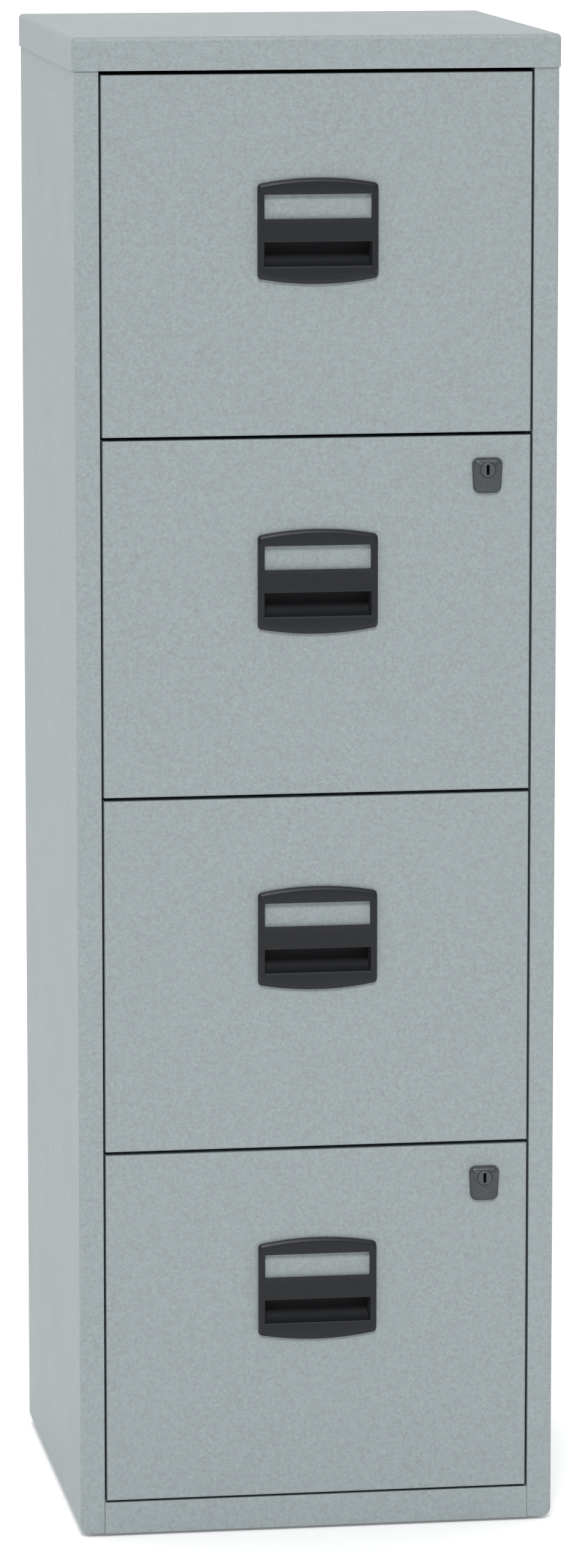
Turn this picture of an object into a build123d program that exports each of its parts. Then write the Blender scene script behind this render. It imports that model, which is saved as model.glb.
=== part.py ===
from build123d import *

import os
from math import cos, radians, sin

# Four-drawer steel filing cabinet, in millimetres. The origin is the middle of the footprint
# on the floor, +Z is up and the drawers open towards -Y. Drawer 1 is the top one.

# Outside of the case
height = 1282.0
lid_width = 413.0
depth = 400.0
lid_overhang = 1.5
lid_skirt = 28.0
lid_sheet = 1.0
lid_radius = 4.0
case_sheet = 0.8
case_bend = 1.6
case_fold = 0.72
case_foot_radius = 8.0
stile_width = 21.1
stile_return = 20.0
plinth_top = 30.0
glide_height = 2.5
glide_radius = 14.0
glide_inset = 40.0

# Gaps round the drawer fronts
gap_top = 3.5
gap_between = 3.0
gap_bottom = 1.8
gap_side = 1.8
seam = 0.2

# Inside of the case
pan_depth = 12.0
rail_depth = 20.0
upright_depth = 30.0
upright_sheet = 1.2
upright_foot = 20.0
upright_head = 45.0
upright_set_back = 8.7
stud_radius = 2.5
stud_head_radius = 4.5

# Drawers
drawer_count = 4
front_depth = 18.0
front_sheet = 0.8
front_bend = 1.6
liner_flange = 5.0
tray_sheet = 0.8
tray_floor = 8.0
tray_top = 246.0
tray_end_gap = 27.0
file_rail_inset = 6.3
file_rail_lip = 10.0

# Telescopic slides: sizes across the slide are measured from the upright inwards
slide_thick = 12.7
slide_half = 22.5
slide_sheet = 1.2
slide_rise = 125.0
slide_end_gap = 24.5
slide_start = 4.5
outer_reach = 9.5
outer_lip = 1.7
middle_set = 2.2
middle_reach = 11.1
middle_lip = 1.4
inner_set = 5.0
upright_clearance = 0.7
ball_radius = 2.0
ball_clearance = 0.05
outer_ball_gap = 1.1
inner_ball_gap = 0.3
ball_rows = 4
cage_sheet = 0.6
cage_edge = 0.5
outer_cage_set = 1.4
inner_cage_set = 3.9
cage_play = 19.0
screw_radius = 2.2
screw_length = 7.0

# Handle
handle_width = 102.0
handle_side = 78.7
handle_crown = 5.0
handle_proud = 4.5
handle_radius = 3.5
handle_edge = 1.3
window_width = 91.0
window_height = 20.5
band = 13.6
grip = 19.4
pull_width = 90.5
pull_height = 20.5
pocket_gap = 3.0
pocket_wall = 1.5
pocket_reach = 12.0
scoop_slope = 0.35
cut_clearance = 0.3
handle_drop = 121.0
top_handle_drop = 131.0

# Locks
lock_x = 144.8
lock_drop = 28.6
bezel_width = 26.4
bezel_height = 29.8
bezel_proud = 6.0
bezel_radius = 8.0
bezel_edge = 3.0
bezel_lift = 5.1
barrel_radius = 6.3
barrel_clearance = 0.05
sleeve_radius = 9.0
tail_radius = 4.0
key_slot_width = 2.4
key_slot_height = 8.4
key_slot_depth = 8.0
cam_radius = 10.0
cam_sheet = 1.6
cam_gap = 1.0
cam_angle = 45.0
pin_radius = 2.5
pin_play = 0.6
bar_sheet = 2.0
bar_width = 14.0
bar_gap = 0.3
bar_arm = 16.0
bar_side_gap = 3.5
hook_height = 18.0
catch_rise = 200.0
catch_height = 10.0
catch_length = 16.0
catch_gap = 0.8
hook_gap = 2.0

# Derived places
half_lid = lid_width / 2
half_case = half_lid - lid_overhang
case_front = -depth / 2 + lid_overhang
case_back = depth / 2 - lid_overhang
half_opening = half_case - stile_width
half_front = half_opening - gap_side
skirt_z = height - lid_skirt
under_lid = height - lid_sheet
stack = skirt_z - gap_top - plinth_top - gap_bottom - (drawer_count - 1) * gap_between
front_height = stack / drawer_count
pitch = front_height + gap_between
front_inside = case_front + front_depth
slide_outside = half_opening - upright_clearance
half_tray = slide_outside - slide_thick
slide_front = front_inside + slide_start
slide_length = case_back - slide_end_gap - slide_front
cage_length = slide_length / 2 - cage_play
tray_back = case_back - tray_end_gap
upright_front = front_inside + upright_set_back
rear_upright_front = slide_front + slide_length - upright_depth - slide_start
bar_back = upright_front - bar_gap
bar_front = bar_back - bar_sheet
bar_x = half_case - case_sheet - bar_side_gap - bar_width / 2
crank = radians(cam_angle)
drop = 2 * cam_radius * sin(crank)


def drawer_base(number):
    """Height of the lower edge of a drawer front, with number 1 at the top."""
    return plinth_top + gap_bottom + (drawer_count - number) * pitch


def handle_centre(number):
    """Height of the middle of a drawer's handle."""
    fall = top_handle_drop if number == 1 else handle_drop
    return drawer_base(number) + front_height - fall


def slab(low, high, mode=Mode.ADD):
    """A box between two opposite corners, in the open part."""
    size = [b - a for a, b in zip(low, high)]
    with Locations(tuple((a + b) / 2 for a, b in zip(low, high))):
        Box(*size, mode=mode)


def save(piece, name):
    """Labels a finished piece and writes it."""
    piece.part.label = name
    export_step(piece.part, f"parts/{name}.step")


def make_lid():
    """Pressed tray, open below, with soft top edges and front corners."""
    with BuildPart() as lid:
        slab((-half_lid, -depth / 2, skirt_z), (half_lid, depth / 2, height))
        fillet(lid.edges().filter_by(Axis.Z), lid_radius)
        fillet(lid.faces().sort_by(Axis.Z)[-1].edges(), lid_radius)
        offset(amount=-lid_sheet, openings=lid.faces().sort_by(Axis.Z)[0])
    return lid


def make_side(hand):
    """Side panel with stile, stile return and flanges; hand is 1 on the right, -1 on the left."""
    top = under_lid - lid_radius + lid_sheet
    with BuildPart() as side:
        slab((half_opening, case_front, glide_height), (half_case, case_back, top))
        fillet(side.faces().sort_by(Axis.X)[-1].edges().sort_by(Axis.Z)[0], case_foot_radius)
        fillet(side.edges().filter_by(Axis.Z).group_by(Axis.X)[-1], case_bend)
        offset(amount=-case_sheet, openings=side.faces().sort_by(Axis.X)[0])
        slab(
            (half_opening, case_front, glide_height),
            (half_opening + case_sheet, case_front + stile_return, top),
        )
        inner = side.faces().sort_by(Axis.X)[0].edges().filter_by(Axis.Z)
        fillet(inner.sort_by(Axis.Y)[0], case_fold)
        if hand < 0:
            mirror(about=Plane.YZ, mode=Mode.REPLACE)
    return side


def make_pan(low, high, sheet, open_face, bend=0.0):
    """Shallow folded pan that fills a box and is open on one side: 'back', 'front' or 'top'."""
    axis = Axis.Z if open_face == "top" else Axis.Y
    pick = 0 if open_face == "front" else -1
    with BuildPart() as pan:
        slab(low, high)
        if bend:
            fillet(pan.faces().sort_by(Axis.Y)[0].edges(), bend)
        offset(amount=-sheet, openings=pan.faces().sort_by(axis)[pick])
    return pan


def make_uprights(hand):
    """Front and rear channels, open towards the side panel, that carry the slides."""
    foot = glide_height + upright_foot
    head = height - upright_head
    skin = half_case - case_sheet
    with BuildPart() as uprights:
        for start in (upright_front, rear_upright_front):
            slab((slide_outside, start, foot), (skin, start + upright_depth, head))
            slab(
                (slide_outside + upright_sheet, start + upright_sheet, foot),
                (skin, start + upright_depth - upright_sheet, head),
                mode=Mode.SUBTRACT,
            )
        if hand < 0:
            mirror(about=Plane.YZ, mode=Mode.REPLACE)
    return uprights


def make_glides():
    """Four plastic glides under the corners of the case."""
    spots = [
        (x * (half_case - glide_inset), y * (case_back - glide_inset)) for x in (-1, 1) for y in (-1, 1)
    ]
    with BuildPart() as glides:
        with BuildSketch(Plane.XY):
            with Locations(spots):
                Circle(glide_radius)
        extrude(amount=glide_height)
    return glides


def slide_channel(u_web, u_tip, half, z, start, length, sheet, lip=0.0):
    """Right-hand channel of a slide, with its web at u_web and flanges out to u_tip."""
    x_web = slide_outside - u_web
    x_tip = slide_outside - u_tip
    thick = sheet if u_web < u_tip else -sheet
    x_lip = x_tip + (sheet if u_web < u_tip else -sheet)
    near, far = start, start + length
    web = sorted((x_web, x_web - thick))
    slab((web[0], near, z - half), (web[1], far, z + half))
    reach = sorted((x_web, x_tip))
    for side in (-1, 1):
        flange = sorted((z + side * half, z + side * (half - sheet)))
        slab((reach[0], near, flange[0]), (reach[1], far, flange[1]))
        if lip:
            edge = sorted((z + side * half, z + side * (half - sheet - lip)))
            tip = sorted((x_tip, x_lip))
            slab((tip[0], near, edge[0]), (tip[1], far, edge[1]))


# Half heights of the slide's raceways, worked out from the balls that roll between them
outer_ball_z = slide_half - slide_sheet - ball_radius - ball_clearance
middle_half = outer_ball_z - ball_radius - ball_clearance
inner_ball_z = middle_half - slide_sheet - ball_radius - ball_clearance
inner_half = inner_ball_z - ball_radius - ball_clearance
outer_ball_u = outer_reach - slide_sheet - ball_radius - outer_ball_gap
inner_ball_u = middle_reach - slide_sheet - ball_radius - inner_ball_gap


def make_slide(kind, number):
    """Left and right members of one drawer's slides: 'outer', 'middle' or 'inner'."""
    z = drawer_base(number) + slide_rise
    with BuildPart() as members:
        if kind == "outer":
            reach = slide_length
            slide_channel(0, outer_reach, slide_half, z, slide_front, reach, slide_sheet, outer_lip)
        elif kind == "middle":
            reach = slide_length - 2 * slide_start
            slide_channel(
                middle_set, middle_reach, middle_half, z, slide_front, reach, slide_sheet, middle_lip
            )
        else:
            reach = slide_length - slide_start
            slide_channel(slide_thick, inner_set, inner_half, z, slide_front, reach, slide_sheet)
        mirror(about=Plane.YZ)
    return members


def make_cage(kind, number):
    """Ball cages of one drawer's slides with their balls: 'outer' or 'inner'."""
    z = drawer_base(number) + slide_rise
    outer = kind == "outer"
    ball_u = outer_ball_u if outer else inner_ball_u
    ball_z = outer_ball_z if outer else inner_ball_z
    plate_u = outer_cage_set if outer else inner_cage_set
    tip_u = ball_u + ball_radius + 2 * ball_clearance + cage_edge
    x_ball = slide_outside - ball_u
    start = slide_front + slide_length / 4
    y_first = start + cage_length / (2 * ball_rows)
    y_step = cage_length / ball_rows
    rows = [(x_ball, y_first + i * y_step, z + side * ball_z) for i in range(ball_rows) for side in (-1, 1)]
    with BuildPart() as cage:
        slide_channel(plate_u, tip_u, ball_z + cage_sheet / 2, z, start, cage_length, cage_sheet)
        with Locations(rows):
            Cylinder(ball_radius + 2 * ball_clearance, 3 * cage_sheet, mode=Mode.SUBTRACT)
        with Locations(rows):
            Sphere(ball_radius)
        mirror(about=Plane.YZ)
    return cage


def make_slide_screws():
    """Screws through the fixed slide members into the uprights."""
    spots = [
        (start + upright_depth / 2, drawer_base(n) + slide_rise)
        for n in range(1, drawer_count + 1)
        for start in (upright_front, rear_upright_front)
    ]
    with BuildPart() as screws:
        with BuildSketch(Plane.YZ.offset(slide_outside + upright_sheet)):
            with Locations(spots):
                Circle(screw_radius)
        extrude(amount=screw_length)
        mirror(about=Plane.YZ)
    return screws


# Places within the handle, measured up from its middle
half_handle = handle_side / 2 + handle_crown
window_z = half_handle - band - window_height / 2
pull_top = half_handle - band - window_height - grip
pull_bottom = pull_top - pull_height
pocket_top = pull_top + pocket_reach
pocket_bottom = pull_bottom - pocket_wall
half_pocket = pull_width / 2 + pocket_wall


def make_handle(number):
    """Moulding with a label window, a grip bar and a scooped finger pocket behind the grip."""
    z = handle_centre(number)
    back = front_inside - pocket_gap
    x, side = handle_width / 2, handle_side / 2
    facing = Plane((0, case_front, z), x_dir=(1, 0, 0), z_dir=(0, -1, 0))
    with BuildPart() as handle:
        with BuildSketch(facing):
            with BuildLine():
                top = ThreePointArc((-x, side), (0, half_handle), (x, side))
                bottom = ThreePointArc((x, -side), (0, -half_handle), (-x, -side))
                Line(top @ 1, bottom @ 0)
                Line(bottom @ 1, top @ 0)
            make_face()
        extrude(amount=handle_proud)
        fillet(handle.edges().filter_by(Axis.Y), handle_radius)
        fillet(handle.faces().sort_by(Axis.Y)[0].edges(), handle_edge)
        slab(
            (-half_pocket, case_front, z + pocket_bottom),
            (half_pocket, back, z + pocket_top + pocket_wall),
        )
        with BuildSketch(facing):
            with Locations((0, window_z)):
                Rectangle(window_width, window_height)
        extrude(amount=handle_proud, mode=Mode.SUBTRACT)
        with BuildSketch(facing):
            with Locations((0, (pull_top + pull_bottom) / 2)):
                Rectangle(pull_width, pull_height)
        extrude(amount=handle_proud, mode=Mode.SUBTRACT)
        with BuildSketch(Plane.YZ):
            with BuildLine():
                lip = (case_front, z + pull_bottom)
                deep = (back - pocket_wall, z + pull_top)
                crest = (back - pocket_wall, z + pocket_top)
                Line((case_front, z + pocket_top), lip)
                TangentArc(lip, deep, tangent=(1, scoop_slope))
                Line(deep, crest)
                Line(crest, (case_front, z + pocket_top))
            make_face()
        extrude(amount=pull_width / 2, both=True, mode=Mode.SUBTRACT)
    return handle


def make_front(number, locked):
    """Folded outer panel of a drawer front, cut for the finger pocket and the lock."""
    z = drawer_base(number)
    grip_z = handle_centre(number)
    low = (-half_front, case_front, z)
    high = (half_front, front_inside, z + front_height)
    front = make_pan(low, high, front_sheet, "back", front_bend)
    gap = cut_clearance
    with front:
        slab(
            (-half_pocket - gap, case_front, grip_z + pocket_bottom - gap),
            (half_pocket + gap, case_front + front_sheet, grip_z + pocket_top + pocket_wall + gap),
            mode=Mode.SUBTRACT,
        )
        if locked:
            lock_hole(case_front, z)
    return front


def lock_hole(y, base):
    """Clearance hole for the lock's sleeve through a sheet that starts at y."""
    with Locations(Location((lock_x, y, base + front_height - lock_drop), (90, 0, 0))):
        Cylinder(sleeve_radius + cut_clearance, 4 * front_sheet, mode=Mode.SUBTRACT)


def make_liner(number, locked):
    """Inner pan nested in the front panel, which closes it from behind."""
    z = drawer_base(number)
    inset = front_sheet + seam
    low = (-half_front + inset, front_inside - liner_flange, z + inset)
    high = (half_front - inset, front_inside, z + front_height - inset)
    liner = make_pan(low, high, front_sheet, "front")
    if locked:
        with liner:
            lock_hole(front_inside, z)
    return liner


def make_tray(number):
    """Sides and floor of a drawer with upturned file rails, front flanges and the lock catch."""
    z = drawer_base(number)
    floor, top = z + tray_floor, z + tray_top
    rail = half_tray - file_rail_inset
    catch = z + catch_rise
    t = tray_sheet
    with BuildPart() as tray:
        slab((0, front_inside, floor), (half_tray, tray_back, floor + t))
        slab((half_tray - t, front_inside, floor), (half_tray, tray_back, top))
        slab((rail, front_inside, top - t), (half_tray, tray_back, top))
        slab((rail, front_inside, top - t), (rail + t, tray_back, top + file_rail_lip))
        slab((half_tray - pan_depth, front_inside, floor), (half_tray, front_inside + t, top))
        mirror(about=Plane.YZ)
        slab(
            (half_tray, upright_front + catch_gap - bar_gap, catch),
            (
                slide_outside - upright_sheet,
                upright_front + catch_gap + catch_length,
                catch + catch_height,
            ),
        )
        slab(
            (half_tray, upright_front + catch_gap - bar_gap + 2 * t, catch + 2 * t),
            (
                slide_outside,
                upright_front + catch_gap + catch_length,
                catch + catch_height,
            ),
            mode=Mode.SUBTRACT,
        )
    return tray


def make_drawer_back(number):
    """Rear panel of the tray, flanged forwards against its sides and floor."""
    z = drawer_base(number)
    low = (-half_tray + tray_sheet, tray_back - pan_depth, z + tray_floor + tray_sheet)
    high = (half_tray - tray_sheet, tray_back, z + tray_top - tray_sheet)
    return make_pan(low, high, tray_sheet, "front")


def make_housing(number):
    """Pillow-shaped bezel on the drawer front with the sleeve that holds the plug."""
    z = drawer_base(number) + front_height - lock_drop
    facing = Plane((lock_x, case_front, z), x_dir=(1, 0, 0), z_dir=(0, -1, 0))
    with BuildPart() as housing:
        with BuildSketch(facing):
            with Locations((0, -bezel_lift)):
                RectangleRounded(bezel_width, bezel_height, bezel_radius)
        extrude(amount=bezel_proud)
        fillet(housing.faces().sort_by(Axis.Y)[0].edges(), bezel_edge)
        with BuildSketch(facing):
            Circle(sleeve_radius)
        extrude(amount=-(front_depth - front_sheet))
        with BuildSketch(facing):
            Circle(barrel_radius + barrel_clearance)
        extrude(amount=front_depth + bezel_proud, both=True, mode=Mode.SUBTRACT)
    return housing


def make_barrel(number):
    """Turning plug with a key slot in its face and a thinner tail."""
    z = drawer_base(number) + front_height - lock_drop
    nose = Plane((lock_x, case_front - bezel_proud, z), x_dir=(1, 0, 0), z_dir=(0, 1, 0))
    plug = bezel_proud + front_depth - front_sheet
    with BuildPart() as barrel:
        with BuildSketch(nose):
            Circle(barrel_radius)
        extrude(amount=plug)
        with BuildSketch(nose):
            Circle(tail_radius)
        extrude(amount=bezel_proud + front_depth + cam_gap + cam_sheet)
        with BuildSketch(nose):
            Rectangle(key_slot_width, key_slot_height)
        extrude(amount=key_slot_depth, mode=Mode.SUBTRACT)
    return barrel


def make_cam(number):
    """Crank on the plug's tail whose pin works in the lock bar's arm."""
    z = drawer_base(number) + front_height - lock_drop
    pin = (cam_radius * cos(crank), -cam_radius * sin(crank))
    plate = Plane((lock_x, front_inside + cam_gap, z), x_dir=(1, 0, 0), z_dir=(0, 1, 0))
    with BuildPart() as cam:
        with BuildSketch(plate):
            with Locations((pin[0] / 2, pin[1] / 2)):
                SlotCenterToCenter(cam_radius, 2 * (tail_radius + cam_sheet), rotation=-cam_angle)
        extrude(amount=cam_sheet)
        with BuildSketch(plate):
            with Locations(pin):
                Circle(pin_radius)
        extrude(amount=bar_back - front_inside)
        with BuildSketch(plate):
            Circle(tail_radius)
        extrude(amount=cam_sheet, mode=Mode.SUBTRACT)
    return cam


def make_bar(locked_number):
    """Bar behind the right stile: a strip, a slotted arm to the lock and a hook above each catch."""
    lock_z = drawer_base(locked_number) + front_height - lock_drop
    pin_x = lock_x + cam_radius * cos(crank)
    pin_z = lock_z + cam_radius * sin(crank)
    above_catch = catch_rise + catch_height + hook_gap
    hooks = [drawer_base(n) + above_catch for n in (locked_number - 1, locked_number)]
    strip_low, strip_high = bar_x - bar_width / 2, bar_x + bar_width / 2
    slot_low = pin_x - pin_radius - pin_play
    slot_high = lock_x + cam_radius + pin_radius + pin_play
    hook_tip = half_tray + bar_side_gap
    foot = hooks[1] - 2 * hook_height
    head = hooks[0] + 2 * hook_height
    with BuildPart() as bar:
        slab((strip_low, bar_front, foot), (strip_high, bar_back, head))
        slab(
            (slot_low - bar_sheet, bar_front, pin_z - bar_arm / 2),
            (strip_high, bar_back, pin_z + bar_arm / 2),
        )
        slab(
            (slot_low, bar_front, pin_z - pin_radius - pin_play),
            (slot_high, bar_back, pin_z + pin_radius + pin_play),
            mode=Mode.SUBTRACT,
        )
        for hook in hooks:
            slab((hook_tip, bar_front, hook), (strip_high, bar_back, hook + hook_height))
        for z in stud_heights(locked_number):
            slab(
                (bar_x - stud_radius - bar_gap, bar_front, z - stud_radius - bar_gap),
                (bar_x + stud_radius + bar_gap, bar_back, z + stud_radius + bar_gap + drop),
                mode=Mode.SUBTRACT,
            )
    return bar


def stud_heights(locked_number):
    """Heights of the two studs that guide one lock bar."""
    low = drawer_base(locked_number) + catch_rise - hook_height
    return (low + hook_height / 2 - drop, low + pitch + 3 * hook_height)


def make_studs():
    """Shoulder rivets on the right front upright that guide both lock bars."""
    spots = [(bar_x, z) for number in (2, drawer_count) for z in stud_heights(number)]
    with BuildPart() as studs:
        with BuildSketch(Plane.XZ.offset(-upright_front)):
            with Locations(spots):
                Circle(stud_radius)
        extrude(amount=2 * bar_gap + bar_sheet)
        with BuildSketch(Plane.XZ.offset(-bar_front + bar_gap)):
            with Locations(spots):
                Circle(stud_head_radius)
        extrude(amount=bar_sheet / 2)
    return studs


def make_case():
    """Everything that stays still."""
    save(make_lid(), "lid")
    save(make_side(-1), "side_left")
    save(make_side(1), "side_right")
    skin = half_case - case_sheet
    flange = case_back - case_sheet
    bottom = glide_height + case_sheet
    half_back = skin - case_bend
    low = (-half_back, flange - case_sheet, bottom + case_foot_radius)
    with BuildPart() as back_panel:
        slab(low, (half_back, flange, under_lid - lid_radius))
    save(back_panel, "back_panel")
    low = (-skin + case_foot_radius, case_front + rail_depth + seam, bottom)
    high = (skin - case_foot_radius, flange - case_foot_radius, bottom + pan_depth)
    save(make_pan(low, high, case_sheet, "top"), "base_pan")
    low = (-half_opening + seam, case_front, glide_height)
    high = (half_opening - seam, case_front + rail_depth, plinth_top)
    plinth_rail = make_pan(low, high, case_sheet, "back")
    with plinth_rail:
        front = plinth_rail.faces().sort_by(Axis.Y)[0]
        fillet(front.edges().filter_by(Axis.X), case_fold)
    save(plinth_rail, "plinth_rail")
    low = (-half_opening + seam, case_front + lid_radius, skirt_z)
    high = (half_opening - seam, case_front + rail_depth, under_lid)
    save(make_pan(low, high, case_sheet, "back"), "top_rail")
    save(make_uprights(-1), "uprights_left")
    save(make_uprights(1), "uprights_right")
    save(make_glides(), "foot_glides")
    save(make_slide_screws(), "slide_screws")
    save(make_studs(), "bar_studs")


def make_drawer(number):
    """One drawer with its handle and slides."""
    name = f"drawer_{number}"
    locked = number in (2, drawer_count)
    save(make_front(number, locked), f"{name}_front")
    save(make_liner(number, locked), f"{name}_liner")
    save(make_tray(number), f"{name}_tray")
    save(make_drawer_back(number), f"{name}_back")
    save(make_handle(number), f"{name}_handle")
    for kind in ("outer", "middle", "inner"):
        save(make_slide(kind, number), f"{name}_slide_{kind}")
    for kind in ("outer", "inner"):
        save(make_cage(kind, number), f"{name}_cage_{kind}")


def make_lock(name, number):
    """One lock with its bar."""
    save(make_housing(number), f"lock_{name}_housing")
    save(make_barrel(number), f"lock_{name}_barrel")
    save(make_cam(number), f"lock_{name}_cam")
    save(make_bar(number), f"lock_bar_{name}")


os.makedirs("parts", exist_ok=True)
make_case()
for drawer in range(1, drawer_count + 1):
    make_drawer(drawer)
make_lock("upper", 2)
make_lock("lower", drawer_count)
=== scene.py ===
import math

import bmesh
import bpy
import numpy as np
from bpy.props import FloatProperty, FloatVectorProperty, IntProperty, PointerProperty
from mathutils import Matrix, Vector


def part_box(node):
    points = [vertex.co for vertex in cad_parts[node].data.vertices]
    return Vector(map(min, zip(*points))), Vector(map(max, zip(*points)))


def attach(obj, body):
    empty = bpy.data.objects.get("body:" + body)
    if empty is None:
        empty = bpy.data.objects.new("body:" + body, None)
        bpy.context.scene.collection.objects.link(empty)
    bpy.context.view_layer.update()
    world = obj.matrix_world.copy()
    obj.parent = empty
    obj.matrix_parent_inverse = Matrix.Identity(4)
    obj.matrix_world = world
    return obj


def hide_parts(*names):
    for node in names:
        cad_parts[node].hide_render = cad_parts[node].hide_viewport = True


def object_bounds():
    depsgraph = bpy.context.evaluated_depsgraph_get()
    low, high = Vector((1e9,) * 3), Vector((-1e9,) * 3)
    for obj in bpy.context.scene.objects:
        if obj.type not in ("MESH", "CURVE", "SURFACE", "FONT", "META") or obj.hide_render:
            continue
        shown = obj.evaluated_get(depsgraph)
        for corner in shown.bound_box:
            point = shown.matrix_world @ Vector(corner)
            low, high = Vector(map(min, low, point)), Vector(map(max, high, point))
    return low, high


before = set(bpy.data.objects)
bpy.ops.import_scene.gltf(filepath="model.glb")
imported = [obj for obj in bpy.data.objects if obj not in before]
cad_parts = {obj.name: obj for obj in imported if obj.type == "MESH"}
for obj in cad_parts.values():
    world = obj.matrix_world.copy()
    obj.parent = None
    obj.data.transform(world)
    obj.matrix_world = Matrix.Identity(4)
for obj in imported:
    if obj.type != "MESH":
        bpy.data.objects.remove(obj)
CAD_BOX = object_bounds()

bl_info = {
    "name": "Filing cabinet",
    "version": (1, 0, 0),
    "blender": (4, 5, 0),
    "location": "View3D > Sidebar > Cabinet",
    "description": "Finishes, pulls and locks for a steel filing cabinet",
    "category": "Add Mesh",
}

MM = 0.001
DRAWERS = (1, 2, 3, 4)
LOCKS = {"upper": 2, "lower": 4}
FRONT_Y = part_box("drawer_1_front")[0].y
SMOOTH_LIMIT = math.radians(32)

# Colours that the settings leave alone
# Near-black painted shade for the inside of the lock's key slot
SLOT_SHADE_BLACK = (0.001, 0.001, 0.001)
GLIDE_BLACK = (0.03, 0.03, 0.032)
CAGE_CREAM = (0.62, 0.61, 0.57)
SLIDE_ZINC = (0.62, 0.63, 0.64)
BAR_ZINC = (0.58, 0.59, 0.58)

# Small sizes of the pulls and locks
GRIP_SET = 0.15 * MM  # the grip's face lies this far behind the frame's
BORE_PLAY = 0.08 * MM
SLEEVE_WALL = 1.9 * MM
BEZEL_TAPER = 0.11
BEZEL_ROUND = 5.8 * MM

# Stage
FLOOR_REACH = 14.0
SKY_BRIGHT = 1.12
KEY_PLACE = (-4.8, -31.5, 31.5)
KEY_SIZE = 12.0
CAMERA_PLACE = (-0.8664, -5.8123, 1.5831)
CAMERA_AIM = (-0.0202, -0.2000, 0.6515)


# ---------------------------------------------------------------- shader expressions


class Value:
    """A socket in a node tree. Arithmetic on a number adds Math nodes."""

    def __init__(self, nodes, socket):
        self.nodes = nodes
        self.socket = socket

    def _with(self, operation, first, second):
        return self.nodes.node("ShaderNodeMath", {"operation": operation}, (first, second))

    def __add__(self, other):
        return self._with("ADD", self, other)

    def __radd__(self, other):
        return self._with("ADD", other, self)

    def __sub__(self, other):
        return self._with("SUBTRACT", self, other)

    def __rsub__(self, other):
        return self._with("SUBTRACT", other, self)

    def __mul__(self, other):
        return self._with("MULTIPLY", self, other)

    def __rmul__(self, other):
        return self._with("MULTIPLY", other, self)

    def __truediv__(self, other):
        return self._with("DIVIDE", self, other)

    def above(self, low, high):
        """0 below low, 1 above high, and a straight ramp between."""
        slope = (self - low) / (high - low)
        return self.nodes.node("ShaderNodeClamp", {}, (slope, 0.0, 1.0))


class Nodes:
    """The maker of nodes in one node tree."""

    def __init__(self, tree):
        self.tree = tree

    def node(self, kind, settings, inputs, output=0):
        """Adds a node: its settings first, then its inputs by position or by name."""
        made = self.tree.nodes.new(kind)
        for key, value in settings.items():
            setattr(made, key, value)
        pairs = inputs.items() if isinstance(inputs, dict) else enumerate(inputs)
        for key, value in pairs:
            if isinstance(value, Value):
                self.tree.links.new(value.socket, made.inputs[key])
            else:
                made.inputs[key].default_value = value
        return Value(self, made.outputs[output])

    def blend(self, share, first, second):
        """Mixes two colours, each a triple or a socket, by a share from 0 to 1."""
        inputs = {0: share}
        for place, colour in ((6, first), (7, second)):
            inputs[place] = colour if isinstance(colour, Value) else (*colour, 1.0)
        return self.node("ShaderNodeMix", {"data_type": "RGBA"}, inputs, 2)


class Sheet(Nodes):
    """One material being drawn, with its shader."""

    def __init__(self, name, colour, roughness, metallic=0.0, **uniform):
        self.material = bpy.data.materials.new(name)
        self.material.use_nodes = True
        self.material.diffuse_color = (*colour, 1.0)
        super().__init__(self.material.node_tree)
        self.shader = self.tree.nodes["Principled BSDF"]
        self.shader.inputs["Base Color"].default_value = (*colour, 1.0)
        self.shader.inputs["Roughness"].default_value = roughness
        self.shader.inputs["Metallic"].default_value = metallic
        for key, value in uniform.items():
            self.shader.inputs[key.replace("_", " ")].default_value = value
        self.place = self.node("ShaderNodeTexCoord", {}, (), "Object")

    def stretched(self, x, y, z):
        """Object coordinates multiplied along each axis."""
        return self.node("ShaderNodeVectorMath", {"operation": "MULTIPLY"}, (self.place, (x, y, z)))

    def noise(self, grain, detail=2.0, place=None):
        """Smooth noise whose features are grain metres across, from 0 to 1."""
        source = place or self.place
        inputs = {"Vector": source, "Scale": 1.0 / grain, "Detail": detail}
        return self.node("ShaderNodeTexNoise", {}, inputs)

    def cells(self, grain):
        """Distance to the nearest of scattered points that are grain metres apart."""
        inputs = {"Vector": self.place, "Scale": 1.0 / grain}
        return self.node("ShaderNodeTexVoronoi", {"feature": "F1"}, inputs)

    def feed(self, name, value):
        """Links a varying value to one of the shader's inputs."""
        self.tree.links.new(value.socket, self.shader.inputs[name])

    def relief(self, heights, depth):
        """Small surface relief: a height from 0 to 1 that stands depth metres tall."""
        bump = self.node("ShaderNodeBump", {}, {"Height": heights, "Distance": depth, "Strength": 1.0})
        self.feed("Normal", bump)


def tint(colour, factor):
    """A colour made lighter or darker by a factor."""
    return tuple(min(1.0, c * factor) for c in colour)


# ---------------------------------------------------------------- finishes


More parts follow.
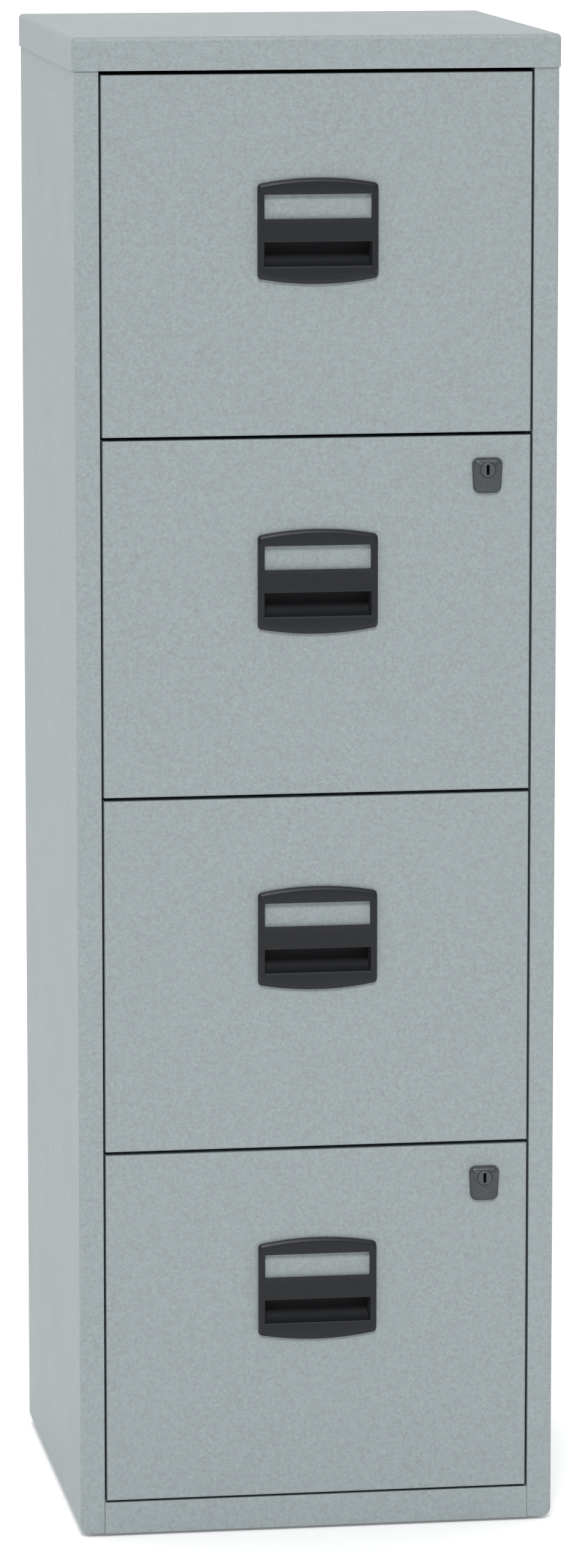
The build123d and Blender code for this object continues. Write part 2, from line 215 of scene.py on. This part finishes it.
def powder_coat(name, colour, speckle):
    """Silver-grey powder coat: mottled grains, fine pale and dark flecks and orange peel."""
    sheet = Sheet(name, colour, roughness=0.5, metallic=0.1, Specular_IOR_Level=0.3)
    coarse = sheet.noise(4.6 * MM, detail=3.0).above(0.36, 0.64)
    fine = sheet.noise(2.1 * MM).above(0.34, 0.66)
    cloud = sheet.noise(60 * MM).above(0.3, 0.7)
    base = sheet.blend(coarse, tint(colour, 1 - speckle), tint(colour, 1 + speckle))
    grains = sheet.blend(fine, tint(colour, 1 - 1.5 * speckle), tint(colour, 1 + 1.5 * speckle))
    base = sheet.blend(0.55, base, grains)
    pale = 1.0 - sheet.cells(5.2 * MM).above(0.12, 0.24)
    dark = 1.0 - sheet.cells(6.1 * MM).above(0.10, 0.22)
    base = sheet.blend(pale * 0.5, base, tint(colour, 1 + 3.2 * speckle))
    base = sheet.blend(dark * 0.45, base, tint(colour, 1 - 3.0 * speckle))
    base = sheet.blend(cloud * 0.2, base, tint(colour, 1.04))
    sheet.feed("Base Color", base)
    sheet.feed("Roughness", 0.44 + fine * 0.1 + cloud * 0.05)
    peel = sheet.noise(2.2 * MM) * 0.6 + sheet.noise(0.8 * MM, detail=1.0) * 0.4
    sheet.relief(peel, 0.16 * MM)
    return sheet.material


def moulded_plastic(name, colour, roughness):
    """Dark moulded plastic with a spark-eroded grain and slightly uneven gloss."""
    sheet = Sheet(name, colour, roughness, Specular_IOR_Level=0.34)
    grain = sheet.noise(0.55 * MM)
    haze = sheet.noise(18 * MM)
    base = sheet.blend(grain.above(0.4, 0.6) * 0.5, tint(colour, 0.86), tint(colour, 1.2))
    sheet.feed("Base Color", sheet.blend(haze * 0.3, base, tint(colour, 1.3)))
    sheet.feed("Roughness", roughness - 0.06 + haze * 0.12)
    sheet.relief(grain, 0.05 * MM)
    return sheet.material


def cast_metal(name, colour):
    """Dark coated die casting, satin, with faint mottling and a coarser cast relief."""
    sheet = Sheet(name, colour, roughness=0.38, metallic=0.35, Specular_IOR_Level=0.5)
    mottle = sheet.noise(1.6 * MM, detail=3.0)
    wear = sheet.noise(5 * MM).above(0.45, 0.7)
    base = sheet.blend(mottle.above(0.35, 0.65), tint(colour, 0.85), tint(colour, 1.18))
    sheet.feed("Base Color", sheet.blend(wear * 0.35, base, tint(colour, 1.35)))
    sheet.feed("Roughness", 0.33 + mottle * 0.14)
    sheet.relief(mottle, 0.03 * MM)
    return sheet.material


def brushed_metal(name, colour, along):
    """Plated steel with fine draw lines along one axis and soft tarnish clouds."""
    sheet = Sheet(name, colour, roughness=0.3, metallic=0.95)
    squeeze = tuple(0.04 if axis == along else 1.0 for axis in "xyz")
    lines = sheet.noise(0.7 * MM, place=sheet.stretched(*squeeze))
    cloud = sheet.noise(20 * MM, detail=3.0)
    base = sheet.blend(lines.above(0.3, 0.7), tint(colour, 0.88), tint(colour, 1.1))
    sheet.feed("Base Color", sheet.blend(cloud.above(0.45, 0.75) * 0.35, base, tint(colour, 0.8)))
    sheet.feed("Roughness", 0.26 + lines * 0.16 + cloud * 0.1)
    sheet.relief(lines, 0.02 * MM)
    return sheet.material


def plug_finish(name, colour, slot_y):
    """Dark turned metal with faint swirls. From just behind its face inwards, the key slot included, it
    is painted near-black as painted shade, rougher and not metallic.
    """
    sheet = Sheet(name, colour, roughness=0.42, metallic=0.3, Specular_IOR_Level=0.45)
    swirl = sheet.noise(0.9 * MM, detail=3.0)
    wear = sheet.noise(3 * MM).above(0.5, 0.7)
    depth = sheet.node("ShaderNodeSeparateXYZ", {}, (sheet.place,), "Y")
    # 1 from just behind the plug's face inwards: where the key slot gets its painted shade
    deep = depth.above(slot_y, slot_y + 0.3 * MM)
    base = sheet.blend(swirl.above(0.3, 0.7), tint(colour, 0.88), tint(colour, 1.15))
    base = sheet.blend(wear * 0.4, base, tint(colour, 1.5))
    # Painted shade: the key slot's inside is blended to near-black
    sheet.feed("Base Color", sheet.blend(deep, base, SLOT_SHADE_BLACK))
    sheet.feed("Roughness", 0.36 + swirl * 0.12 + deep * 0.4)
    sheet.feed("Metallic", 0.3 - deep * 0.3)
    sheet.relief(swirl, 0.02 * MM)
    return sheet.material


def studio_floor(name, colour):
    """Even matt floor with the faintest unevenness, lit softly from within so that it stays pale."""
    glow = {"Emission_Color": (1.0, 1.0, 1.0, 1.0), "Emission_Strength": 0.12}
    sheet = Sheet(name, colour, roughness=0.9, Specular_IOR_Level=0.1, **glow)
    cloud = sheet.noise(600 * MM)
    sheet.feed("Base Color", sheet.blend(cloud * 0.2, colour, tint(colour, 0.985)))
    return sheet.material


def finishes():
    """All materials by name, made once from the settings."""
    settings = bpy.context.scene.cabinet
    if "case_coat" not in bpy.data.materials:
        coat_colour = tuple(settings.coat_colour)
        pull_colour, lock_colour = tuple(settings.pull_colour), tuple(settings.lock_colour)
        powder_coat("case_coat", coat_colour, settings.speckle)
        powder_coat("front_coat", tint(coat_colour, settings.front_shade), settings.speckle)
        moulded_plastic("pull_plastic", pull_colour, roughness=0.42)
        # The pocket's plastic is rougher for a matt moulded texture; its colour, 0.9 of the pull's, is
        # painted shade that darkens the finger pocket.
        moulded_plastic("pocket_plastic", tint(pull_colour, 0.9), roughness=0.7)
        moulded_plastic("glide_moulding", GLIDE_BLACK, roughness=0.55)
        moulded_plastic("cage_moulding", CAGE_CREAM, roughness=0.45)
        cast_metal("lock_casting", lock_colour)
        # Depth behind the plug's face from which its inside is painted near-black as painted shade
        slot_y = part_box("lock_upper_barrel")[0].y + 0.9 * MM
        plug_finish("plug_turned", tint(lock_colour, 1.25), slot_y)
        brushed_metal("slide_zinc", SLIDE_ZINC, "y")
        brushed_metal("bar_zinc", BAR_ZINC, "z")
    return bpy.data.materials


def coat(nodes, finish):
    """Gives CAD nodes a finish through their material slots."""
    for node in nodes:
        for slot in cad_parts[node].material_slots:
            slot.link = "OBJECT"
            slot.material = finishes()[finish]


# ---------------------------------------------------------------- surfaces


def grid_faces(rows, columns, wrap_rows, wrap_columns):
    """Quads between neighbouring points of a rows by columns grid, with optional wrap-around."""
    r = np.arange(rows if wrap_rows else rows - 1)[:, None]
    c = np.arange(columns if wrap_columns else columns - 1)[None, :]
    down, right = (r + 1) % rows, (c + 1) % columns
    corners = (r * columns + c, r * columns + right, down * columns + right, down * columns + c)
    return np.stack([np.broadcast_to(k, (r.size, c.size)) for k in corners], -1).reshape(-1, 4)


def make_piece(name, surfaces, finish, body):
    """One mesh object from grids of points, given as (points, wrap_rows, wrap_columns)."""
    points, quads, start = [], [], 0
    for grid, wrap_rows, wrap_columns in surfaces:
        rows, columns = grid.shape[:2]
        quads.append(grid_faces(rows, columns, wrap_rows, wrap_columns) + start)
        points.append(grid.reshape(-1, 3))
        start += rows * columns
    vertices, faces = np.concatenate(points), np.concatenate(quads)
    mesh = bpy.data.meshes.new(name)
    mesh.vertices.add(len(vertices))
    mesh.vertices.foreach_set("co", vertices.astype(np.float32).ravel())
    mesh.loops.add(faces.size)
    mesh.loops.foreach_set("vertex_index", faces.astype(np.int32).ravel())
    mesh.polygons.add(len(faces))
    mesh.polygons.foreach_set("loop_start", np.arange(len(faces), dtype=np.int32) * 4)
    mesh.update(calc_edges=True)
    welded = bmesh.new()
    welded.from_mesh(mesh)
    bmesh.ops.remove_doubles(welded, verts=welded.verts, dist=2e-6)
    bmesh.ops.dissolve_degenerate(welded, edges=welded.edges, dist=1e-7)
    bmesh.ops.recalc_face_normals(welded, faces=welded.faces)
    welded.to_mesh(mesh)
    welded.free()
    mesh.shade_smooth()
    mesh.set_sharp_from_angle(angle=SMOOTH_LIMIT)
    mesh.materials.append(finishes()[finish])
    piece = bpy.data.objects.new(name, mesh)
    bpy.context.scene.collection.objects.link(piece)
    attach(piece, body)
    return piece


def ray_reach(field, angles, level, far):
    """Along each direction, how far the field stays under a level, found by halving."""
    low, high = np.zeros_like(angles), np.full_like(angles, far)
    level = np.broadcast_to(level, angles.shape)
    for _ in range(40):
        middle = (low + high) / 2
        inside = field(middle * np.cos(angles), middle * np.sin(angles)) < level
        low, high = np.where(inside, middle, low), np.where(inside, high, middle)
    return low


def box_field(half_x, half_z, centre_z, radius):
    """Distance outside a rectangle with rounded corners; negative inside."""

    def field(x, z):
        dx = np.abs(x) - half_x + radius
        dz = np.abs(z - centre_z) - half_z + radius
        outside = np.hypot(np.maximum(dx, 0), np.maximum(dz, 0))
        return outside + np.minimum(np.maximum(dx, dz), 0) - radius

    return field


def crown_field(half_x, side_z, crown, radius):
    """Distance outside a shape with straight sides and bowed top and bottom; negative inside."""
    bow = (half_x**2 + crown**2) / (2 * crown)
    drop = side_z + crown - bow

    def field(x, z):
        dx = np.abs(x) - half_x + radius
        dz = np.hypot(x, np.abs(z) - drop) - bow + radius
        outside = np.hypot(np.maximum(dx, 0), np.maximum(dz, 0))
        return outside + np.minimum(np.maximum(dx, dz), 0) - radius

    return field


def directions(corners, even=300, near=26, spread=0.11):
    """Angles round a loop: evenly spread, with more of them close to each corner."""
    loop = [np.linspace(0, 2 * np.pi, even, endpoint=False)]
    loop += [corner + spread * np.linspace(-1, 1, near) for corner in corners]
    return np.unique(np.round(np.concatenate(loop) % (2 * np.pi), 5))


def ring_row(angles, reach, centre_x, centre_z, out):
    """A closed row of points: reach along each direction, standing out from the drawer front."""
    x = centre_x + reach * np.cos(angles)
    z = centre_z + reach * np.sin(angles)
    y = FRONT_Y - np.broadcast_to(out, angles.shape)
    return np.stack([x, y, z], -1)


# ---------------------------------------------------------------- drawer pulls


def pull_levels(settings):
    """Heights over a pull's centre: the window's top, the grip's top and foot, the pocket's foot."""
    window_top = settings.pull_side / 2 + settings.pull_crown - settings.band
    grip_top = window_top - settings.opening
    grip_foot = grip_top - settings.grip
    return window_top, grip_top, grip_foot, grip_foot - settings.opening


def pull_frame(centre_z, settings):
    """Ring between the bowed outline and the opening. Its face falls away to the outline as the
    square of the way into the bevel, which is wide at the bowed ends; its inner edge is a round."""
    proud = settings.pull_proud
    half_x, side_z = settings.pull_width / 2, settings.pull_side / 2
    half_open = settings.opening_width / 2
    high, _, _, low = pull_levels(settings)
    outline = crown_field(half_x, side_z, settings.pull_crown, 2.8 * MM)
    hole = box_field(half_open, (high - low) / 2, (high + low) / 2, 0.9 * MM)
    turns = (math.atan2(side_z, half_x), math.atan2(high, half_open), math.atan2(-low, half_open))
    corners = [side + way * turn for turn in turns for side in (0, np.pi) for way in (1, -1)]
    angles = directions(corners)
    far = 2 * half_x
    edge = ray_reach(outline, angles, 0.0, far)
    ends = np.clip((np.abs(edge * np.sin(angles)) - 0.8 * side_z) / (0.2 * side_z), 0, 1)
    bevel = 1.5 * MM + 2.4 * MM * ends * ends * (3 - 2 * ends)
    rows = [(edge, 0.0)]
    for share in np.linspace(0, 1, 9):
        reach = ray_reach(outline, angles, -bevel * share, far)
        rows.append((reach, proud - 0.5 * bevel * (1 - share) ** 2))
    round_in = settings.inner_round
    for step in np.linspace(np.pi / 2, 0, 6):
        reach = ray_reach(hole, angles, round_in * (1 - np.cos(step)), far)
        rows.append((reach, proud - round_in * (1 - np.sin(step))))
    rows.append((rows[-1][0], 0.0))
    return np.array([ring_row(angles, reach, 0.0, centre_z, out) for reach, out in rows])


def carried(y, z, centre_y, centre_z, half_x):
    """A closed section, given as offsets from its centre, carried along x from -half_x to half_x.
    A first and a last row at the centre close the ends."""
    x = np.array([-half_x, -half_x, half_x, half_x])[:, None]
    scale = np.array([0.0, 1.0, 1.0, 0.0])[:, None]
    return np.stack(np.broadcast_arrays(x, centre_y + scale * y, centre_z + scale * z), -1)


def grip_bar(centre_z, settings):
    """Bar between the two openings: a rounded box section carried along x, closed at both ends."""
    _, top, low, _ = pull_levels(settings)
    half_y, half_z = (settings.pull_proud - GRIP_SET) / 2, settings.grip / 2
    section = box_field(half_z, half_y, 0.0, 1.0 * MM)
    turn = math.atan2(half_y, half_z)
    angles = directions([turn, -turn, np.pi - turn, np.pi + turn], 40, 15, 0.09)
    reach = ray_reach(section, angles, 0.0, 0.05)
    y, z = -reach * np.sin(angles), reach * np.cos(angles)
    half_x = settings.opening_width / 2 + 0.4 * MM
    return carried(y, z, FRONT_Y - half_y, centre_z + (top + low) / 2, half_x)


def grip_studs(centre_z, settings):
    """Two rows of small domes on the grip bar: each is a cap of a sphere that sinks into the bar."""
    _, top, low, _ = pull_levels(settings)
    middle = centre_z + (top + low) / 2 - 0.6 * MM
    row_gap, radius, tall = 5.0 * MM, 1.25 * MM, 0.62 * MM
    places = (np.arange(settings.stud_count) - (settings.stud_count - 1) / 2) * settings.stud_pitch
    around = np.linspace(0, 2 * np.pi, 10, endpoint=False)
    lean = radius * np.array([0.0, 0.35, 0.7, 1.0])[:, None]
    rise = tall * np.array([1.0, 0.85, 0.45, -0.3])[:, None]
    studs = []
    for z in (middle + row_gap / 2, middle - row_gap / 2):
        for x in places:
            px, pz = x + lean * np.cos(around), z + lean * np.sin(around)
            py = np.broadcast_to(FRONT_Y - settings.pull_proud + GRIP_SET - rise, px.shape)
            cap = np.stack([px, py, pz], -1)
            foot = np.broadcast_to(np.array([x, py[-1, 0], z]), (1, around.size, 3))
            studs.append((np.concatenate([cap, foot]), False, True))
    return studs


def finger_scoop(centre_z, back_y, settings):
    """Pocket behind the grip: a curved floor that rises from the lower lip to the back wall, and
    on behind the grip. The side walls join it to the opening and lean in slightly with depth."""
    _, _, high, low = pull_levels(settings)
    deep = back_y - FRONT_Y - 1.4 * MM
    bend = np.linspace(0, np.pi / 2, 16)
    floor_y = deep * np.sin(bend) ** 0.9
    floor_z = low + settings.opening * (1 - np.cos(bend)) ** 0.8
    rise_z = high + np.array([4.0, 8.0, 11.0, 11.6]) * MM
    rim = 0.3 * MM
    depth = np.concatenate([[-0.5 * MM], floor_y, np.full(3, deep), [rim]])[:, None]
    height = np.concatenate([[low - 0.25 * MM], floor_z, rise_z])[:, None]
    half_x = settings.opening_width / 2 - 0.1 * MM
    lean = 0.8 * MM * np.clip(depth / deep, 0, 1)
    across = np.linspace(-1, 1, 24)
    side = np.full_like(depth, half_x)
    x = np.concatenate([-side, (half_x - lean) * across, side], 1)
    edge_y = np.full_like(depth, rim)
    y = np.concatenate([edge_y, np.repeat(depth, across.size, 1), edge_y], 1)
    z = np.repeat(height, across.size + 2, 1)
    return np.stack([x, FRONT_Y + y, centre_z + z], -1)


def bead(centre_z, rise, radius, proud, settings):
    """Rounded bead along an edge: a circle carried along x and closed at both ends."""
    around = np.linspace(0, 2 * np.pi, 16, endpoint=False)
    centre_y = FRONT_Y - settings.pull_proud - proud + radius
    half_x = settings.opening_width / 2 + 0.3 * MM
    return carried(radius * np.cos(around), radius * np.sin(around), centre_y, centre_z + rise, half_x)


# ---------------------------------------------------------------- locks


def bezel_field(half_x, half_z, centre_z, taper, radius):
    """Distance outside a rounded square that narrows towards its foot; negative inside."""

    def field(x, z):
        up = (z - centre_z) / half_z
        dx = np.abs(x) - half_x * (1 - taper * (1 - up) / 2) + radius
        dz = np.abs(z - centre_z) - half_z + radius
        outside = np.hypot(np.maximum(dx, 0), np.maximum(dz, 0))
        return outside + np.minimum(np.maximum(dx, dz), 0) - radius

    return field


def lock_bezel(name, plug, housing, settings):
    """Pillow-shaped casting round the plug: rows run from the back of the bore out over a gently
    domed face, round the shoulder to the drawer front and back along the sleeve."""
    low, high = housing
    x, z = (plug[0].x + plug[1].x) / 2, (plug[0].z + plug[1].z) / 2
    back = high.y - FRONT_Y
    bore = (plug[1].x - plug[0].x) / 2 + BORE_PLAY
    rim, rim_fall = bore + 0.35 * MM, 0.4 * MM
    face, dome = FRONT_Y - low.y - 0.5 * MM, 0.6 * MM
    shoulder = settings.bezel_shoulder
    outline = bezel_field(
        (high.x - low.x) / 2, (high.z - low.z) / 2, (low.z + high.z) / 2 - z, BEZEL_TAPER, BEZEL_ROUND
    )
    angles = np.linspace(0, 2 * np.pi, 168, endpoint=False)
    inner = ray_reach(outline, angles, -shoulder, 0.1)
    rows = [(bore, -back), (bore, face - rim_fall), (rim, face)]
    for share in np.linspace(0.12, 1.0, 8):
        rows.append((rim + share * (inner - rim), face - dome * share**2))
    for share in np.linspace(0.1, 1.0, 9):
        reach = ray_reach(outline, angles, -shoulder * (1 - share), 0.1)
        rows.append((reach, face - dome - 0.72 * shoulder * share**2))
    sleeve = bore + SLEEVE_WALL
    rows += [(rows[-1][0], 0.0), (sleeve, 0.0), (sleeve, -back)]
    grid = np.array([ring_row(angles, reach, x, z, out) for reach, out in rows])
    body = f"drawer_{LOCKS[name]}"
    piece = make_piece(f"lock_{name}_bezel", [(grid, True, True)], "lock_casting", body)
    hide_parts(f"lock_{name}_housing")


def lock_plug(name, plug, settings):
    """Turning plug: rows run from the floor of the key slot up its walls, over the dished face and
    the rounded rim, back along the barrel and in to the tail."""
    low, high = plug
    x, z = (low.x + high.x) / 2, (low.z + high.z) / 2
    radius, front = (high.x - low.x) / 2, FRONT_Y - low.y
    slot = box_field(settings.key_width / 2, settings.key_height / 2, 0.0, 0.6 * MM)
    slot_foot, slot_bevel, rim = front - 8 * MM, 0.25 * MM, 1.0 * MM
    turn = math.atan2(settings.key_height, settings.key_width)
    angles = directions([turn, -turn, np.pi - turn, np.pi + turn], 96, 14, 0.2)
    key = ray_reach(slot, angles, 0.0, 0.02)
    wide = ray_reach(slot, angles, slot_bevel, 0.02)
    dish = front - 0.3 * MM
    rows = [(0.0, slot_foot), (key, slot_foot), (key, dish - slot_bevel), (wide, dish)]
    for share in np.linspace(0.25, 1, 5):
        rows.append((wide + share * (radius - rim - wide), dish + 0.15 * MM * share))
    for step in np.linspace(0.3, np.pi / 2, 5):
        rows.append((radius - rim * (1 - np.sin(step)), front - 0.9 * MM + 0.75 * MM * np.cos(step)))
    tail = 4.0 * MM
    end = FRONT_Y - high.y
    neck = end + 3.4 * MM
    rows += [(radius, neck), (tail, neck), (tail, end), (0.0, end)]
    grid = np.array([ring_row(angles, reach, x, z, out) for reach, out in rows])
    piece = make_piece(
        f"lock_{name}_plug_turned", [(grid, False, True)], "plug_turned", f"lock_{name}_plug"
    )
    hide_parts(f"lock_{name}_barrel")


# ---------------------------------------------------------------- settings


class CabinetSettings(bpy.types.PropertyGroup):
    """Sizes and colours of the cabinet's visible detail."""

    coat_colour: FloatVectorProperty(
        name="Coat colour", description="Powder coat of the case",
        default=(0.304, 0.343, 0.353), subtype="COLOR",
    )
    front_shade: FloatProperty(
        name="Front shade", description="Brightness of the drawer fronts against the case", default=0.985
    )
    speckle: FloatProperty(
        name="Speckle", description="Contrast of the grains in the coat", default=0.088, min=0.0, max=0.5
    )
    pull_colour: FloatVectorProperty(
        name="Pull colour", description="Moulded plastic of the pulls",
        default=(0.0090, 0.0103, 0.0125), subtype="COLOR",
    )
    lock_colour: FloatVectorProperty(
        name="Lock colour", description="Die casting of the locks",
        default=(0.056, 0.063, 0.068), subtype="COLOR",
    )
    pull_width: FloatProperty(
        name="Pull width", description="Width of a pull", default=102 * MM, unit="LENGTH"
    )
    pull_side: FloatProperty(
        name="Pull side", description="Height of a pull at its sides", default=78.7 * MM, unit="LENGTH"
    )
    pull_crown: FloatProperty(
        name="Pull bow", description="Rise of the bowed top and bottom", default=5 * MM, unit="LENGTH"
    )
    pull_proud: FloatProperty(
        name="Pull thickness", description="How far a pull stands out", default=4.5 * MM, unit="LENGTH"
    )
    band: FloatProperty(
        name="Top band", description="Band above the label window", default=13.6 * MM, unit="LENGTH"
    )
    opening: FloatProperty(
        name="Opening height", description="Height of the window and of the finger opening",
        default=20.5 * MM, unit="LENGTH",
    )
    opening_width: FloatProperty(
        name="Opening width", description="Width of both openings", default=91.0 * MM, unit="LENGTH"
    )
    grip: FloatProperty(
        name="Grip height", description="Height of the grip bar", default=19.4 * MM, unit="LENGTH"
    )
    inner_round: FloatProperty(
        name="Inner round", description="Rounding of the openings' edges", default=0.6 * MM, unit="LENGTH"
    )
    stud_count: IntProperty(name="Studs", description="Studs in each row on the grip", default=17)
    stud_pitch: FloatProperty(
        name="Stud pitch", description="Distance between studs", default=5.2 * MM, unit="LENGTH"
    )
    bezel_shoulder: FloatProperty(
        name="Bezel shoulder", description="Width of the bezel's rounded shoulder",
        default=4.0 * MM, unit="LENGTH",
    )
    key_width: FloatProperty(
        name="Key slot width", description="Width of the key slot", default=2.4 * MM, unit="LENGTH"
    )
    key_height: FloatProperty(
        name="Key slot height", description="Height of the key slot", default=8.4 * MM, unit="LENGTH"
    )
    floor_colour: FloatVectorProperty(
        name="Floor colour", description="Plain studio floor", default=(0.95, 0.95, 0.95), subtype="COLOR"
    )
    front_glow: FloatProperty(
        name="Front glow", description="Brightness of the surroundings in front", default=0.12
    )
    key_power: FloatProperty(
        name="Key light", description="Power of the front light in watts", default=12500.0
    )
    lens: FloatProperty(name="Lens", description="Focal length of the camera", default=156.0)


# ---------------------------------------------------------------- operators


class CABINET_OT_case(bpy.types.Operator):
    """Coats the case, its rails, its uprights and its glides"""

    bl_idname = "cabinet.case"
    bl_label = "Finish case"

    def execute(self, context):
        coat(["lid", "side_left", "side_right", "back_panel"], "case_coat")
        coat(["base_pan", "plinth_rail", "top_rail"], "case_coat")
        coat(["uprights_left", "uprights_right", "slide_screws"], "slide_zinc")
        coat(["foot_glides"], "glide_moulding")
        return {"FINISHED"}


class CABINET_OT_drawers(bpy.types.Operator):
    """Coats the drawer fronts, their liners and the trays"""

    bl_idname = "cabinet.drawers"
    bl_label = "Finish drawers"

    def execute(self, context):
        coat([f"drawer_{n}_front" for n in DRAWERS], "front_coat")
        coat([f"drawer_{n}_{piece}" for n in DRAWERS for piece in ("liner", "tray", "back")], "case_coat")
        return {"FINISHED"}


class CABINET_OT_slides(bpy.types.Operator):
    """Finishes the slides, their ball cages, the lock bars and the cams"""

    bl_idname = "cabinet.slides"
    bl_label = "Finish slides"

    def execute(self, context):
        members = [f"drawer_{n}_slide_{kind}" for n in DRAWERS for kind in ("outer", "middle", "inner")]
        coat(members, "slide_zinc")
        coat([f"drawer_{n}_cage_{kind}" for n in DRAWERS for kind in ("outer", "inner")], "cage_moulding")
        coat([f"lock_bar_{name}" for name in LOCKS] + [f"lock_{name}_cam" for name in LOCKS], "bar_zinc")
        coat(["bar_studs"], "bar_zinc")
        return {"FINISHED"}


class CABINET_OT_pulls(bpy.types.Operator):
    """Builds the moulded pulls with their grips and finger pockets"""

    bl_idname = "cabinet.pulls"
    bl_label = "Build pulls"

    def execute(self, context):
        settings = context.scene.cabinet
        for n in DRAWERS:
            low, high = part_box(f"drawer_{n}_handle")
            centre = (low.z + high.z) / 2
            body = f"drawer_{n}"
            _, grip_top, _, pocket_foot = pull_levels(settings)
            lip = bead(centre, pocket_foot - 0.7 * MM, 1.3 * MM, 0.3 * MM, settings)
            ridge = bead(centre, grip_top - 2.4 * MM, 0.6 * MM, 0.05 * MM, settings)
            surround = [(pull_frame(centre, settings), True, True), (lip, False, True)]
            piece = make_piece(f"pull_{n}_frame", surround, "pull_plastic", body)
            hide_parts(f"drawer_{n}_handle")
            bar = [(grip_bar(centre, settings), False, True), *grip_studs(centre, settings)]
            bar.append((ridge, False, True))
            make_piece(f"pull_{n}_grip", bar, "pull_plastic", body)
            scoop = [(finger_scoop(centre, high.y, settings), False, False)]
            # The finger pocket takes the darker plastic, whose darkness is painted shade.
            pocket = make_piece(f"pull_{n}_pocket", scoop, "pocket_plastic", body)
            wall = pocket.modifiers.new("wall", "SOLIDIFY")
            wall.thickness = 1.2 * MM
            wall.offset = -1.0
        return {"FINISHED"}


class CABINET_OT_locks(bpy.types.Operator):
    """Builds the lock bezels and the turning plugs"""

    bl_idname = "cabinet.locks"
    bl_label = "Build locks"

    def execute(self, context):
        settings = context.scene.cabinet
        for name in LOCKS:
            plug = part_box(f"lock_{name}_barrel")
            lock_bezel(name, plug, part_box(f"lock_{name}_housing"), settings)
            lock_plug(name, plug, settings)
        return {"FINISHED"}


class CABINET_OT_stage(bpy.types.Operator):
    """Adds the floor, the soft key light, the pale surroundings and the camera"""

    bl_idname = "cabinet.stage"
    bl_label = "Build stage"

    def put(self, name, data, place, aim):
        """Links a light or a camera at a place, turned to face a point."""
        holder = bpy.data.objects.new(name, data)
        turn = (Vector(aim) - Vector(place)).to_track_quat("-Z", "Y")
        holder.matrix_world = Matrix.Translation(place) @ turn.to_matrix().to_4x4()
        bpy.context.scene.collection.objects.link(holder)
        return holder

    def execute(self, context):
        scene = context.scene
        settings = scene.cabinet
        low, high = CAD_BOX
        reach = FLOOR_REACH
        corners = [(-reach, -reach, 0), (reach, -reach, 0), (reach, reach, 0), (-reach, reach, 0)]
        mesh = bpy.data.meshes.new("floor")
        mesh.from_pydata(corners, [], [(0, 1, 2, 3)])
        mesh.materials.append(studio_floor("studio_floor", tuple(settings.floor_colour)))
        floor = bpy.data.objects.new("floor", mesh)
        scene.collection.objects.link(floor)

        world = bpy.data.worlds.new("studio")
        world.use_nodes = True
        glow = Nodes(world.node_tree)
        direction = glow.node("ShaderNodeTexCoord", {}, (), "Generated")
        ahead = glow.node("ShaderNodeSeparateXYZ", {}, (direction,), "Y")
        sky = glow.blend(ahead.above(-0.75, 0.2), (settings.front_glow,) * 3, (SKY_BRIGHT,) * 3)
        world.node_tree.links.new(sky.socket, world.node_tree.nodes["Background"].inputs["Color"])
        scene.world = world
        scene.view_settings.view_transform = "Standard"

        lamp = bpy.data.lights.new("key", "AREA")
        lamp.shape = "SQUARE"
        lamp.size = KEY_SIZE
        lamp.energy = settings.key_power
        self.put("key", lamp, KEY_PLACE, (Vector(low) + Vector(high)) / 2)

        camera = bpy.data.cameras.new("camera")
        camera.lens = settings.lens
        camera.sensor_width = 36.0
        camera.clip_end = 60.0
        scene.camera = self.put("camera", camera, CAMERA_PLACE, CAMERA_AIM)
        return {"FINISHED"}


class CABINET_PT_panel(bpy.types.Panel):
    """Lists the steps that dress the cabinet"""

    bl_idname = "CABINET_PT_panel"
    bl_label = "Filing cabinet"
    bl_space_type = "VIEW_3D"
    bl_region_type = "UI"
    bl_category = "Cabinet"

    def draw(self, context):
        settings = context.scene.cabinet
        for name in settings.bl_rna.properties.keys():
            if name not in ("rna_type", "name"):
                self.layout.prop(settings, name)
        for step in STEPS:
            self.layout.operator(step.bl_idname)


STEPS = (
    CABINET_OT_case,
    CABINET_OT_drawers,
    CABINET_OT_slides,
    CABINET_OT_pulls,
    CABINET_OT_locks,
    CABINET_OT_stage,
)
CLASSES = (CabinetSettings, *STEPS, CABINET_PT_panel)


def register():
    for item in CLASSES:
        bpy.utils.register_class(item)
    bpy.types.Scene.cabinet = PointerProperty(type=CabinetSettings)


def unregister():
    del bpy.types.Scene.cabinet
    for item in reversed(CLASSES):
        bpy.utils.unregister_class(item)


def main():
    """Registers the add-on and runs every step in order."""
    register()
    bpy.ops.cabinet.case()
    bpy.ops.cabinet.drawers()
    bpy.ops.cabinet.slides()
    bpy.ops.cabinet.pulls()
    bpy.ops.cabinet.locks()
    bpy.ops.cabinet.stage()


if __name__ == "__main__":
    main()
